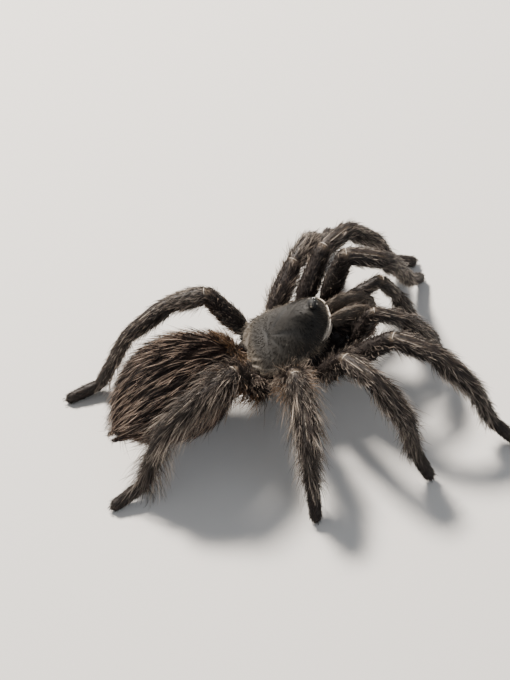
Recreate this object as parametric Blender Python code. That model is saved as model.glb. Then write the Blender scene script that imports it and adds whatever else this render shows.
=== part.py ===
"""Tarantula, life size, standing still: one solid for each hard or soft part of the body.

Metres, +Z up. The animal faces -Y and its left side is +X. Each solid reaches out to the
tips of the coat that covers it. Dimensions below are in millimetres and degrees.
"""

import math

import bmesh
import bpy
import numpy as np

MM = 0.001
GAP = 0.3

# Prosoma (front half of the body): measured from the middle of the carapace's rim plane.
PROSOMA_HEIGHT = 16.0
PROSOMA_PITCH = 12.0
CARAPACE_LENGTH = 23.4
CARAPACE_WIDTH = 18.6
CARAPACE_FORWARD = 0.55
CARAPACE_FRONT_NARROWING = 0.13
CARAPACE_SQUARE = 0.74  # power of the rim's outline: lower is squarer
CARAPACE_REAR_RISE = 4.2
CARAPACE_HEAD_RISE = 8.4
CARAPACE_RIM = 0.9
CARAPACE_EDGE = 0.7
RIM_SLOPE = 0.08
RIM_FRONT_LIFT = 1.0
FOVEA_BACK = 4.0
FOVEA_DEPTH = 0.8
EYE_MOUND_FORWARD = 9.1
EYE_MOUND_UP = 8.5
EYE_MOUND_SIZE = (2.6, 3.6, 2.4)
STERNUM_LENGTH = 11.6
STERNUM_WIDTH = 7.6
STERNUM_TOP = -0.5
STERNUM_BOTTOM = -6.0

# Jaws.
CHELICERA_SIDE = 2.25
CHELICERA_WIDTH = 4.1
CHELICERA_DEPTH = 9.2
CHELICERA_BACK = 12.8
CHELICERA_REACH = 7.0
FANG_LENGTH = 7.0
FANG_WIDTH = 1.5
FANG_UP = -5.2

# Opisthosoma (abdomen) and spinnerets.
PEDICEL_WIDTH = 3.0
PEDICEL_BACK = (7.0, 12.8)
PEDICEL_UP = (-2.4, -1.5)
ABDOMEN_FRONT = 12.2
ABDOMEN_FRONT_HEIGHT = 16.0
ABDOMEN_LENGTH = 34.0
ABDOMEN_WIDTH = 25.2
ABDOMEN_HEIGHT = 23.0
ABDOMEN_TURN = 23.0
ABDOMEN_DROOP = 3.5
SPINNERET_LENGTH = 4.8
SPINNERET_WIDTH = 1.4

# Limbs, front to back. A hip is forward, outward, upward from the prosoma's middle.
HIPS = {
    "palp": (14.3, 6.2, -3.0),
    "leg1": (11.1, 9.7, -4.0),
    "leg2": (5.0, 11.2, -4.0),
    "leg3": (-2.6, 11.6, -4.0),
    "leg4": (-9.8, 10.2, -4.0),
}
COXA_STARTS = {
    "palp": (7.8, 2.5, -4.8),
    "leg1": (4.6, 4.3, -3.4),
    "leg2": (1.7, 4.9, -3.4),
    "leg3": (-1.8, 4.9, -3.4),
    "leg4": (-5.0, 4.2, -3.4),
}
# Femur, patella, tibia, metatarsus, tarsus. A palp has no metatarsus.
LENGTHS = {
    "palp": (11.5, 8.0, 9.4, 8.5),
    "leg1": (17.0, 10.0, 13.0, 10.6, 9.2),
    "leg2": (15.4, 9.4, 11.4, 10.2, 8.9),
    "leg3": (14.0, 8.6, 9.6, 11.6, 8.9),
    "leg4": (16.6, 9.4, 13.2, 16.8, 9.6),
}
# Half widths of the coat at the hip, mid femur, knee, mid patella, patella end,
# mid tibia, tibia end, mid metatarsus, metatarsus end, tarsus tip.
LEG_GIRTH = (2.3, 3.3, 2.5, 2.8, 2.5, 2.8, 2.2, 2.1, 1.8, 1.6)
PALP_GIRTH = (1.6, 2.2, 1.9, 2.1, 1.9, 2.3, 1.9, 1.9, 1.9, 1.5)
# Each limb as it stands: turn of the femur from straight ahead, turn added beyond the
# patella, then the rise of femur, patella, tibia, metatarsus. The tarsus meets the floor.
STANCE = {
    "leg1_r": (30, 10, 44, -13, -39, -67),
    "leg2_r": (57, -3, 56, 0, -42, -78),
    "leg3_r": (88, 11, 63, -22, -12, -79),
    "leg4_r": (147, 18, 64, 4, -29, -64),
    "leg1_l": (-7, 57, 70, -20, -56, -62),
    "leg2_l": (39, -25, 48, -8, -46, -70),
    "leg3_l": (46, 22, 34, 2, -51, -55),
    "leg4_l": (171, 17, 62, -12, -28, -56),
    "palp_r": (6, -6, 63, -29, -53),
    "palp_l": (5, -42, 26, -60, -66),
}
FOOT_HEIGHT = 0.9
MITRE_LIMIT = math.radians(34)  # a sharper bend than this thins the joint, not its corner
SIDES = 10

COLOURS = {
    "carapace": (0.16, 0.145, 0.125, 1),
    "coat": (0.055, 0.042, 0.034, 1),
    "fang": (0.01, 0.006, 0.005, 1),
}


def material(name):
    """One plain Principled material for each kind of surface, made once for each part."""
    made = bpy.data.materials.new(name)
    made.use_nodes = True
    shader = made.node_tree.nodes["Principled BSDF"]
    kind = name.split(".")[0]
    shader.inputs["Base Color"].default_value = COLOURS[kind]
    shader.inputs["Roughness"].default_value = 0.25 if kind == "fang" else 0.8
    return made


def prosoma_point(forward, left, up):
    """A point given from the prosoma's middle, in the animal's standing frame."""
    tilt = math.radians(PROSOMA_PITCH)
    return np.array(
        [
            forward * math.cos(tilt) - up * math.sin(tilt),
            left,
            PROSOMA_HEIGHT + forward * math.sin(tilt) + up * math.cos(tilt),
        ]
    )


def heading(turn, rise):
    """Unit direction: turn is degrees to the left of straight ahead, rise is above level."""
    t, r = math.radians(turn), math.radians(rise)
    return np.array([math.cos(t) * math.cos(r), math.sin(t) * math.cos(r), math.sin(r)])


def unit(vector):
    return vector / np.linalg.norm(vector)


def ring_about(centre, direction, half_width, half_height, sides=SIDES, square=1.0):
    """Points round centre, across direction: a superellipse, where square 1 is an ellipse."""
    across = unit(np.cross(direction, (0, 0, 1)))
    over = np.cross(across, direction)
    turn = np.arange(sides) * 2 * np.pi / sides + np.pi / sides
    c, s = np.cos(turn), np.sin(turn)
    c = np.sign(c) * np.abs(c) ** square
    s = np.sign(s) * np.abs(s) ** square
    return centre + np.outer(c * half_width, across) + np.outer(s * half_height, over)


def slide_to_plane(points, direction, place, normal):
    """Moves points along direction until they lie in the plane through place."""
    reach = ((place - points) @ normal) / (direction @ normal)
    return points + np.outer(reach, direction)


def add_part(name, kind, points, faces):
    """A closed object from points in the standing frame, in millimetres."""
    turned = np.stack([points[:, 1], -points[:, 0], points[:, 2]], 1) * MM
    mesh = bpy.data.meshes.new(name)
    mesh.from_pydata(turned.tolist(), [], faces)
    build = bmesh.new()
    build.from_mesh(mesh)
    bmesh.ops.remove_doubles(build, verts=build.verts, dist=0.00001)
    bmesh.ops.recalc_face_normals(build, faces=build.faces)
    bmesh.ops.triangulate(build, faces=build.faces)
    if build.calc_volume(signed=True) < 0:
        bmesh.ops.reverse_faces(build, faces=build.faces)
    build.to_mesh(mesh)
    build.free()
    mesh.materials.append(material(kind + "." + name))
    made = bpy.data.objects.new(name, mesh)
    bpy.context.scene.collection.objects.link(made)
    return made


def skin_over(name, kind, rings, start=None, end=None):
    """A solid through successive rings. Each end is a flat fan, or closes on a point."""
    sides = len(rings[0])
    first = rings[0].mean(0) if start is None else start
    last = rings[-1].mean(0) if end is None else end
    points = np.concatenate([*rings, [first], [last]])
    faces = []
    for row in range(len(rings) - 1):
        for k in range(sides):
            a, b = row * sides + k, row * sides + (k + 1) % sides
            faces.append((a, b, b + sides, a + sides))
    head, tail = len(points) - 2, len(points) - 1
    low = (len(rings) - 1) * sides
    for k in range(sides):
        faces.append((head, (k + 1) % sides, k))
        faces.append((tail, low + k, low + (k + 1) % sides))
    return add_part(name, kind, points, faces)


def carapace_surface(rho, around):
    """Shell point: the rim outline drawn in by rho towards the crown, and its height."""
    half = CARAPACE_LENGTH / 2
    fore = half * np.sign(np.cos(around)) * np.abs(np.cos(around)) ** CARAPACE_SQUARE
    side = CARAPACE_WIDTH / 2 * np.sign(np.sin(around)) * np.abs(np.sin(around)) ** CARAPACE_SQUARE
    side = side * (1 - CARAPACE_FRONT_NARROWING * np.clip(fore / half, -0.4, 1))
    forward = fore * rho + 1.5 * (1 - rho) + CARAPACE_FORWARD
    left = side * rho
    ahead = 1 / (1 + np.exp(-(forward - 1.0) / 2.0))
    crown = CARAPACE_REAR_RISE + (CARAPACE_HEAD_RISE - CARAPACE_REAR_RISE) * ahead
    rim = CARAPACE_RIM + RIM_SLOPE * np.clip(forward, -4, None)
    rim = rim + RIM_FRONT_LIFT * np.clip(forward / half, 0, 1) ** 2
    # the head's back stays high to the front, and its flanks fall away sooner
    ridge = np.clip(np.cos(around), 0, 1) ** 4
    power = 2.2 + ahead * (3.0 * ridge - 0.6)
    up = rim + (crown - CARAPACE_RIM) * (1 - rho ** power) ** 0.9
    dent = np.exp(-(((forward + FOVEA_BACK) / 1.0) ** 2) - (left / 1.6) ** 2)
    return forward, left, up - FOVEA_DEPTH * dent


def make_carapace():
    sides = 32
    around = np.arange(sides) * 2 * np.pi / sides
    rings = []
    rim = carapace_surface(np.full(sides, 1.0), around)
    low = np.stack([rim[0] * 0.97, rim[1] * 0.97, rim[2] - CARAPACE_EDGE], 1)
    rings.append(low)
    for rho in (1.0, 0.93, 0.82, 0.68, 0.52, 0.36, 0.2, 0.08):
        rings.append(np.stack(carapace_surface(np.full(sides, rho), around), 1))
    placed = [np.array([prosoma_point(*p) for p in ring]) for ring in rings]
    shell = skin_over("carapace", "carapace", placed)
    mound = make_eye_mound("eye_seat", GAP)
    mound.hide_render = True
    mound.display_type = "WIRE"
    cut = shell.modifiers.new("eye seat", "BOOLEAN")
    cut.operation = "DIFFERENCE"
    cut.solver = "EXACT"
    cut.object = mound
    make_eye_mound("eye_mound", 0.0)


def make_eye_mound(name, grow):
    """An ellipsoid sunk in the head, larger by grow where it serves as a cutter."""
    length, width, height = (s / 2 + grow for s in EYE_MOUND_SIZE)
    rings = []
    sides = 12
    turn = np.arange(sides) * 2 * np.pi / sides
    for level in (-0.85, -0.5, 0.0, 0.5, 0.85):
        reach = math.sqrt(1 - level * level)
        rings.append(
            np.array(
                [
                    prosoma_point(
                        EYE_MOUND_FORWARD + length * reach * math.cos(t),
                        width * reach * math.sin(t),
                        EYE_MOUND_UP + height * level,
                    )
                    for t in turn
                ]
            )
        )
    low = prosoma_point(EYE_MOUND_FORWARD, 0, EYE_MOUND_UP - height)
    top = prosoma_point(EYE_MOUND_FORWARD, 0, EYE_MOUND_UP + height)
    return skin_over(name, "fang", rings, low, top)


def make_sternum():
    sides = 20
    turn = np.arange(sides) * 2 * np.pi / sides
    rings = []
    for up, share in ((STERNUM_BOTTOM, 0.86), (STERNUM_BOTTOM + 0.8, 1), (STERNUM_TOP, 1)):
        fore = np.cos(turn) * STERNUM_LENGTH / 2 * share
        side = np.sin(turn) * STERNUM_WIDTH / 2 * share
        rings.append(np.array([prosoma_point(f, s, up) for f, s in zip(fore, side)]))
    skin_over("sternum", "coat", rings)


def swept(name, kind, centres, widths, heights, sides, square=1.0, start=None, end=None):
    """A tube along centres, each ring square to the path there."""
    centres = np.array(centres)
    along = np.gradient(centres, axis=0)
    rings = [
        ring_about(c, unit(d), w, h, sides, square)
        for c, d, w, h in zip(centres, along, widths, heights)
    ]
    return skin_over(name, kind, rings, start, end)


def make_jaw(side, sign):
    """The basal joint arches forward and down; the fang folds back under it."""
    half_width, half_depth = CHELICERA_WIDTH / 2, CHELICERA_DEPTH / 2
    steps = np.array([0.0, 0.22, 0.48, 0.72, 0.9, 1.0])
    fall = np.array([0.9, 1.3, 0.8, -0.9, -3.1, -4.7])
    fore = CHELICERA_BACK + CHELICERA_REACH * np.sin(steps * np.pi / 2)
    fore[0] = CHELICERA_BACK
    centres = [
        prosoma_point(f, sign * CHELICERA_SIDE, u) for f, u in zip(fore, fall)
    ]
    girth = np.array([0.84, 0.98, 1.0, 0.92, 0.74, 0.5])
    swept(
        "chelicera_" + side,
        "coat",
        centres,
        half_width * np.array([0.86, 0.98, 1.0, 0.95, 0.82, 0.6]),
        half_depth * girth,
        12,
        0.9,
    )
    bend = np.radians(np.array([-96.0, -120.0, -144.0, -162.0, -174.0]))
    place = np.array([CHELICERA_BACK + CHELICERA_REACH - 0.5, CHELICERA_SIDE, FANG_UP])
    points = [place.copy()]
    for angle in bend:
        place = place + FANG_LENGTH / 5 * np.array([math.cos(angle), -0.06, math.sin(angle)])
        points.append(place.copy())
    centres = [prosoma_point(p[0], sign * p[1], p[2]) for p in points]
    radii = FANG_WIDTH / 2 * np.array([1.0, 0.92, 0.78, 0.62, 0.44, 0.24])
    swept("fang_" + side, "fang", centres, radii, radii, 8)


def make_abdomen():
    """An egg, widest behind its middle, with a flatter top and blunt front."""
    back = heading(180 + ABDOMEN_TURN, -ABDOMEN_DROOP)
    front = prosoma_point(-ABDOMEN_FRONT, 0, 0)
    front[2] = ABDOMEN_FRONT_HEIGHT
    steps = np.array([0.0, 0.03, 0.09, 0.18, 0.3, 0.44, 0.58, 0.7, 0.8, 0.88, 0.945, 0.985, 1.0])
    spread = np.sin(np.pi * steps ** 1.05) ** 0.54
    spread[0], spread[-1] = 0.16, 0.1
    centres = front + np.outer(steps * ABDOMEN_LENGTH, back)
    rings = [
        ring_about(c, back, w * ABDOMEN_WIDTH / 2, w * ABDOMEN_HEIGHT / 2, 24, 0.95)
        for c, w in zip(centres, spread)
    ]
    skin_over("abdomen", "coat", rings)
    rear = centres[-1]
    for side, sign in (("r", -1), ("l", 1)):
        for size, apart, drop, inset, splay in (("long", 2.1, 2.6, 0.6, 16), ("short", 0.95, 3.6, 1.0, 4)):
            scale = 1.0 if size == "long" else 0.4
            way = heading(180 + ABDOMEN_TURN - sign * splay, 6)
            across = np.cross(back, (0, 0, 1))
            root = rear - across * sign * apart - np.array([0, 0, drop]) - back * inset
            reach = np.array([0.0, 0.25, 0.6, 0.9, 1.0]) * SPINNERET_LENGTH * scale
            radii = SPINNERET_WIDTH / 2 * np.array([0.9, 1.0, 0.9, 0.7, 0.35])
            radii = radii * (0.7 + 0.3 * scale)
            swept(
                f"spinneret_{size}_{side}",
                "coat",
                root + np.outer(reach, way),
                radii,
                radii,
                8,
            )


def make_pedicel():
    backs, ups = np.linspace(*PEDICEL_BACK, 4), np.linspace(*PEDICEL_UP, 4)
    ends = [prosoma_point(-b, 0, u) for b, u in zip(backs, ups)]
    half = PEDICEL_WIDTH / 2
    swept("pedicel", "coat", ends, [half] * 4, [half] * 4, 10)


def make_limb(limb, side, sign):
    """Coxa, femur, patella with tibia, and foot, mitred where two of them meet."""
    stance = STANCE[f"{limb}_{side}"]
    lengths = LENGTHS[limb]
    girth = PALP_GIRTH if limb == "palp" else LEG_GIRTH
    turn, swing, rises = stance[0], stance[1], stance[2:]
    forward, out, up = COXA_STARTS[limb]
    joints = [prosoma_point(forward, sign * out, up)]
    forward, out, up = HIPS[limb]
    joints.append(prosoma_point(forward, sign * out, up))
    for index, rise in enumerate(rises):
        way = heading(sign * (turn + (swing if index > 1 else 0)), rise)
        joints.append(joints[-1] + lengths[index] * way)
    fall = max(-0.93, (FOOT_HEIGHT - joints[-1][2]) / lengths[-1])
    way = heading(sign * (turn + swing), math.degrees(math.asin(fall)))
    joints.append(joints[-1] + lengths[-1] * way)
    ways = [unit(b - a) for a, b in zip(joints, joints[1:])]
    planes = [ways[0]]
    planes += [unit(a + b) for a, b in zip(ways, ways[1:])]
    planes.append(ways[-1])

    def cut(bone, end, half, push):
        """The ring of a bone where it meets the mitre at its start (0) or end (1)."""
        at = joints[bone + end]
        normal = planes[bone + end]
        slope = math.acos(min(1.0, ways[bone] @ normal))
        flat = min(1.0, math.tan(MITRE_LIMIT) / max(math.tan(slope), 0.001))
        points = ring_about(at, ways[bone], half, half * flat)
        return slide_to_plane(points, ways[bone], at + normal * push, normal)

    def ring(bone, share, half):
        at = joints[bone] + share * (joints[bone + 1] - joints[bone])
        return ring_about(at, ways[bone], half, half)

    gap = GAP / 2
    inner = 1.15 if limb == "palp" else 1.4
    coxa = [ring(0, 0.0, inner), ring(0, 0.3, inner * 0.42 + girth[0] * 0.54)]
    coxa += [ring(0, 0.6, girth[0] * 1.02), cut(0, 1, girth[0], -gap)]
    skin_over(f"coxa_{limb}_{side}", "coat", coxa)
    femur = [cut(1, 0, girth[0], gap), ring(1, 0.24, (girth[0] + girth[1]) / 2)]
    femur += [ring(1, 0.45, girth[1]), ring(1, 0.72, girth[1] * 0.95), cut(1, 1, girth[2], -gap)]
    skin_over(f"femur_{limb}_{side}", "coat", femur)
    shin = [cut(2, 0, girth[2], gap), ring(2, 0.5, girth[3]), cut(2, 1, girth[4], 0)]
    shin += [ring(3, 0.3, girth[5]), ring(3, 0.65, girth[5] * 0.96), cut(3, 1, girth[6], -gap)]
    skin_over(f"tibia_{limb}_{side}", "coat", shin)
    foot = [cut(4, 0, girth[6], gap)]
    if limb != "palp":
        foot += [ring(4, 0.5, girth[7]), cut(4, 1, girth[8], 0)]
    last = len(ways) - 1
    foot += [ring(last, 0.55, girth[8]), ring(last, 0.93, girth[9]), ring(last, 1.05, girth[9] * 0.7)]
    for loop in foot:
        loop[:, 2] = np.maximum(loop[:, 2], 0)
    skin_over(f"foot_{limb}_{side}", "coat", foot)


def main():
    for old in list(bpy.data.objects):
        bpy.data.objects.remove(old, do_unlink=True)
    make_carapace()
    make_sternum()
    make_pedicel()
    make_abdomen()
    for side, sign in (("r", -1), ("l", 1)):
        make_jaw(side, sign)
        for limb in HIPS:
            make_limb(limb, side, sign)
    shown = [o for o in bpy.data.objects if not o.hide_render]
    points = np.concatenate([np.array([v.co[:] for v in o.data.vertices]) for o in shown])
    middle = (points.min(0) + points.max(0)) / 2
    for every in bpy.data.objects:
        for vertex in every.data.vertices:
            vertex.co.x -= middle[0]
            vertex.co.y -= middle[1]


main()
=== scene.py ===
import math

import bpy
import numpy as np
from mathutils import Matrix, Vector


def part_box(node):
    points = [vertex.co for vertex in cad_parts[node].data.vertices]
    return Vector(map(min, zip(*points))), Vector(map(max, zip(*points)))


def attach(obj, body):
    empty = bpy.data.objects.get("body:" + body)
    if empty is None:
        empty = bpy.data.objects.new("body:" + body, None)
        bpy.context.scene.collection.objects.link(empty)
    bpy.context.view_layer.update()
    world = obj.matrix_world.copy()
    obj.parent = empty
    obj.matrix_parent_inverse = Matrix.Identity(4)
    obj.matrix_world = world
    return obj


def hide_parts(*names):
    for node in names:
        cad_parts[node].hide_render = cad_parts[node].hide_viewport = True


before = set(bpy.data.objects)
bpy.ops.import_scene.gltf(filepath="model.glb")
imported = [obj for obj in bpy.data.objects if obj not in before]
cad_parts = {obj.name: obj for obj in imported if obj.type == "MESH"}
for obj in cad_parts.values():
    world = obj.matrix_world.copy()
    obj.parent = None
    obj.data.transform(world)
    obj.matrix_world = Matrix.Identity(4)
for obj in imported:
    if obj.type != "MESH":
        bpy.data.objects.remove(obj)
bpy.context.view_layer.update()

mm = 0.001
thin = 1.0


# the animal's own frame: forward, left, up in millimetres

body = {
    "height": 16.0,  # middle of the carapace's rim plane above the floor
    "pitch": 12.0,  # nose up
    "eyeMound": (9.1, 0.0, 8.5),
}


def fromBody(points):  # turns points fixed to the front body by its pitch, then lifts them
    p = np.asarray(points, float)
    t = math.radians(body["pitch"])
    forward = p[..., 0] * math.cos(t) - p[..., 2] * math.sin(t)
    up = body["height"] + p[..., 0] * math.sin(t) + p[..., 2] * math.cos(t)
    return np.stack([forward, p[..., 1], up], -1)


moundLow, moundHigh = (np.array(c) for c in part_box("eye_mound"))
moundMiddle = fromBody(body["eyeMound"])
frameShift = (moundLow + moundHigh) / 2 - np.array([moundMiddle[1], -moundMiddle[0], moundMiddle[2]]) * mm


def toFrame(points):  # forward is -Y and left is +X in the shared frame
    return np.stack([points[..., 1], -points[..., 0], points[..., 2]], -1) * mm + frameShift


def unit(v):
    return v / np.maximum(np.linalg.norm(v, axis=-1, keepdims=True), 1e-9)


def heading(turn, rise):
    t, r = math.radians(turn), math.radians(rise)
    return np.array([math.cos(t) * math.cos(r), math.sin(t) * math.cos(r), math.sin(r)])


def smoothStep(low, high, x):
    t = np.clip((x - low) / (high - low), 0, 1)
    return t * t * (3 - 2 * t)


def linear(hexColour):  # sRGB hex to linear light
    c = np.array([int(hexColour[k : k + 2], 16) / 255 for k in (1, 3, 5)])
    return np.where(c <= 0.04045, c / 12.92, ((c + 0.055) / 1.055) ** 2.4)


def mixed(a, b, share):  # a and b are colours, share an array
    share = np.asarray(share)[..., None]
    return a * (1 - share) + b * share


colours = {
    "legDark": "#1a1513",
    "legBrown": "#322823",
    "legTan": "#7c6e62",
    "legPale": "#cabdae",
    "legGold": "#8f683f",
    "stripe": "#a08c74",
    "rim": "#c6bbac",
    "abdomenDark": "#130e0c",
    "abdomenBrown": "#30211c",
    "abdomenRust": "#74523e",
    "abdomenTan": "#cbb39f",
    "waistOrange": "#84694f",
    "shellDark": "#0e0e0e",
    "shellOlive": "#231f19",
    "shellTan": "#8b8071",
    "jawBrown": "#61574c",
    "beard": "#523629",
    "pad": "#191715",
}
tone = {name: linear(value) for name, value in colours.items()}


# surfaces: grids whose rows run along the lie of the coat and whose columns go round


def surfaceFrom(points, marking, bare=0.0, **more):
    # points is rows x columns x 3, closed round the columns; marking and bare spread over it;
    # more is kept with the surface for its coat
    rowStep = np.gradient(points, axis=0)
    colStep = (np.roll(points, -1, 1) - np.roll(points, 1, 1)) / 2
    cross = np.cross(colStep, rowStep)
    normal = unit(cross)
    outward = points - points.mean(1, keepdims=True)
    if (normal * outward).sum(-1).mean() < 0:
        normal = -normal
    return {
        "points": points,
        "normal": normal,
        "lie": unit(rowStep),
        "area": np.linalg.norm(cross, axis=-1),
        "marking": np.broadcast_to(marking, points.shape),
        "bare": np.broadcast_to(bare, points.shape[:2]),
        **more,
    }


def tube(centres, halfWidth, halfHeight, columns):  # a ring square to the path at each centre
    along = unit(np.gradient(centres, axis=0))
    across = unit(np.cross(along, np.array([0.0, 0.0, 1.0])))
    over = np.cross(across, along)
    turn = np.linspace(0, 2 * np.pi, columns, endpoint=False)
    ring = np.cos(turn)[None, :, None] * across[:, None] * halfWidth[:, None, None]
    ring = ring + np.sin(turn)[None, :, None] * over[:, None] * halfHeight[:, None, None]
    return centres[:, None] + ring, turn


def onLine(t, key, corners):  # the points at t on a broken line whose corners lie at key
    return np.stack([np.interp(t, key, corners[:, k]) for k in range(3)], 1)


def lengthOf(corners):  # of each stretch of a broken line
    return np.linalg.norm(np.diff(corners, axis=0), axis=1)


def roundEnd(gap, reach, least=1e-3):  # share of the full girth at a gap from a round end
    near = np.clip(gap / reach, 0, 1)
    return np.sqrt(1 - (1 - near) ** 2 + least)


def swelling(thick, count, fine):  # half thickness along a line that swells between fine ends
    return thick * np.sqrt(np.sin(np.linspace(fine, np.pi - fine, count)))


def plainTube(ends, radii, rows, columns, colour):  # a straight or bent tube with round ends
    ends, radii = np.array(ends, float), np.array(radii, float)
    key = np.linspace(0, 1, len(ends))
    t = np.linspace(0, 1, rows)
    size = np.interp(t, key, radii)
    size = size * roundEnd(np.minimum(t, 1 - t) * lengthOf(ends).sum(), size.mean())
    points = tube(onLine(t, key, ends), size, size, columns)[0]
    return surfaceFrom(points, tone[colour])


# limbs

limbs = {
    "hip": {"palp": (14.3, 6.2, -3.0), "leg1": (11.1, 9.7, -4.0), "leg2": (5.0, 11.2, -4.0),
            "leg3": (-2.6, 11.6, -4.0), "leg4": (-9.8, 10.2, -4.0)},
    "coxaStart": {"palp": (7.8, 2.5, -4.8), "leg1": (4.6, 4.3, -3.4), "leg2": (1.7, 4.9, -3.4),
                  "leg3": (-1.8, 4.9, -3.4), "leg4": (-5.0, 4.2, -3.4)},
    "lengths": {"palp": (11.5, 8.0, 9.4, 8.5), "leg1": (17.0, 10.0, 13.0, 10.6, 9.2),
                "leg2": (15.4, 9.4, 11.4, 10.2, 8.9), "leg3": (14.0, 8.6, 9.6, 11.6, 8.9),
                "leg4": (16.6, 9.4, 13.2, 16.8, 9.6)},
    # turn of the femur, turn added beyond the patella, rises from femur to metatarsus, in degrees
    "stance": {"leg1_r": (30, 10, 44, -13, -39, -67), "leg2_r": (57, -3, 56, 0, -42, -78),
               "leg3_r": (88, 11, 63, -22, -12, -79), "leg4_r": (147, 18, 64, 4, -29, -64),
               "leg1_l": (-7, 57, 70, -20, -56, -62), "leg2_l": (39, -25, 48, -8, -46, -70),
               "leg3_l": (46, 22, 34, 2, -51, -55), "leg4_l": (171, 17, 62, -12, -28, -56),
               "palp_r": (6, -6, 63, -29, -53), "palp_l": (5, -42, 26, -60, -66)},
    "footHeight": 0.9,
    "steepest": 0.93,  # greatest sine of a foot's fall
    # bare half width at the start, a third along and the end of each joint, coxa first
    "legGirth": ((1.5, 2.1, 1.8), (1.8, 2.45, 2.05), (1.95, 2.15, 1.95), (1.9, 2.05, 1.7),
                 (1.55, 1.5, 1.35), (1.3, 1.4, 1.25)),
    "palpGirth": ((1.1, 1.5, 1.3), (1.35, 1.75, 1.5), (1.5, 1.6, 1.5), (1.5, 1.75, 1.5),
                  (1.35, 1.5, 1.15)),
    "jointWaist": 0.1,  # how far the skin draws in at a joint, as a share of its girth
    "waistLength": 0.55,
    "corner": 0.9,  # length over which a joint's corner is rounded
    "cornerRows": 12,
    "tipRound": 1.3,
    "rootRound": 1.0,
    "tipShort": 0.4,  # how far the skin ends before the coat's tip
    "third": 0.35,  # share of a joint at which its second half width lies
    "lowest": 0.03,
    "rows": 230,
    "columns": 28,
}

knees = {
    "edge": 0.1,  # half thickness of the pale edge over the knee: bare pale cuticle, brightened as a painted glint
    "edgeHalf": 0.8,  # how far the edge runs down either side of the top, in radians
    "line": 0.055,  # half thickness of the fine lines along the bare stripes, pale partly as painted glints
    "apart": 0.42,  # from the top of the leg to each of two stripes, in radians
    "stripe": 0.13,
    "rimPast": 0.2,  # the skin is pale on top this far past the knee, partly as a painted glint
    "rimWidth": 0.34,
}


def limbJoints(limb, side):
    sign = 1 if side == "l" else -1
    stance = limbs["stance"][limb + "_" + side]
    lengths = limbs["lengths"][limb]
    mirror = np.array([1, sign, 1])
    joints = [fromBody(np.array(limbs["coxaStart"][limb]) * mirror)]
    joints.append(fromBody(np.array(limbs["hip"][limb]) * mirror))
    for index, rise in enumerate(stance[2:]):
        turn = stance[0] + (stance[1] if index > 1 else 0)
        joints.append(joints[-1] + lengths[index] * heading(sign * turn, rise))
    fall = max(-limbs["steepest"], (limbs["footHeight"] - joints[-1][2]) / lengths[-1])
    way = heading(sign * (stance[0] + stance[1]), math.degrees(math.asin(fall)))
    joints.append(joints[-1] + lengths[-1] * way)
    return np.array(joints)


def limbSurface(limb, side):
    # a tube down the joints, its corners rounded by a running mean, drawn in at each joint
    joints = limbJoints(limb, side)
    reach = np.concatenate([[0], np.cumsum(lengthOf(joints))])
    girth = limbs["palpGirth" if limb == "palp" else "legGirth"]
    s = np.linspace(0, reach[-1] - limbs["tipShort"], limbs["rows"])
    centres = onLine(s, reach, joints)
    step = s[1] - s[0]
    spare = limbs["cornerRows"]
    kernel = np.exp(-((np.arange(-spare, spare + 1) * step / limbs["corner"]) ** 2))
    kernel = kernel / kernel.sum()
    first = centres[0] - np.outer(np.arange(spare, 0, -1), centres[1] - centres[0])
    last = centres[-1] + np.outer(np.arange(1, spare + 1), centres[-1] - centres[-2])
    padded = np.concatenate([first, centres, last])
    centres = np.stack([np.convolve(padded[:, k], kernel, "valid") for k in range(3)], 1)
    bone = np.clip(np.searchsorted(reach, s, "right") - 1, 0, len(girth) - 1)
    part = (s - reach[bone]) / (reach[bone + 1] - reach[bone])
    start, full, end = np.array(girth)[bone].T
    third = limbs["third"]
    width = np.where(part < third, start + (full - start) * smoothStep(0, third, part),
                     full + (end - full) * smoothStep(third, 1.0, part))
    waists = np.exp(-(((s[:, None] - reach[None, 1:-1]) / limbs["waistLength"]) ** 2)).sum(1)
    width = width * (1 - limbs["jointWaist"] * waists)
    width = width * roundEnd(s[-1] - s, limbs["tipRound"], 1e-4) * roundEnd(s, limbs["rootRound"], 1e-4)
    points, turn = tube(centres, width, width, limbs["columns"])
    points[..., 2] = np.maximum(points[..., 2], limbs["lowest"])
    up = np.sin(turn)[None, :]
    down = part[:, None]
    # front legs: two bare stripes down the top of the patella and the start of the tibia;
    # the shaggy hind legs: one along the tibia
    striped = limb in ("palp", "leg1", "leg2")
    fromStripe = np.abs(turn - np.pi / 2) - knees["apart"] * striped
    stripe = np.exp(-((fromStripe / knees["stripe"]) ** 2))[None, :]
    onPatella = (bone == 2)[:, None] * smoothStep(0.04, 0.15, down) * smoothStep(1.0, 0.85, down)
    onTibia = (bone == 3)[:, None] * smoothStep(0.02, 0.1, down)
    if striped:
        stripe = stripe * (onPatella + 0.8 * onTibia * smoothStep(0.6, 0.35, down))
    else:
        stripe = stripe * onTibia * smoothStep(0.95, 0.8, down)
    # pale rim past the knee, on top only: bare cuticle in part, a painted glint in part
    rim = np.exp(-(((s - reach[2] - knees["rimPast"]) / knees["rimWidth"]) ** 2))[:, None]
    rim = rim * smoothStep(0.0, 0.7, up)
    marking = mixed(tone["legDark"], tone["legBrown"], 0.1 + 0.2 * smoothStep(0.0, 1.0, up))
    marking = mixed(marking, tone["stripe"], 0.25 * stripe + 0.3 * rim)
    return surfaceFrom(points, marking, np.clip(0.8 * stripe + 0.6 * rim, 0, 1), bone=bone, part=part,
                       turn=turn, reach=s, joints=reach, striped=striped)


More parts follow.
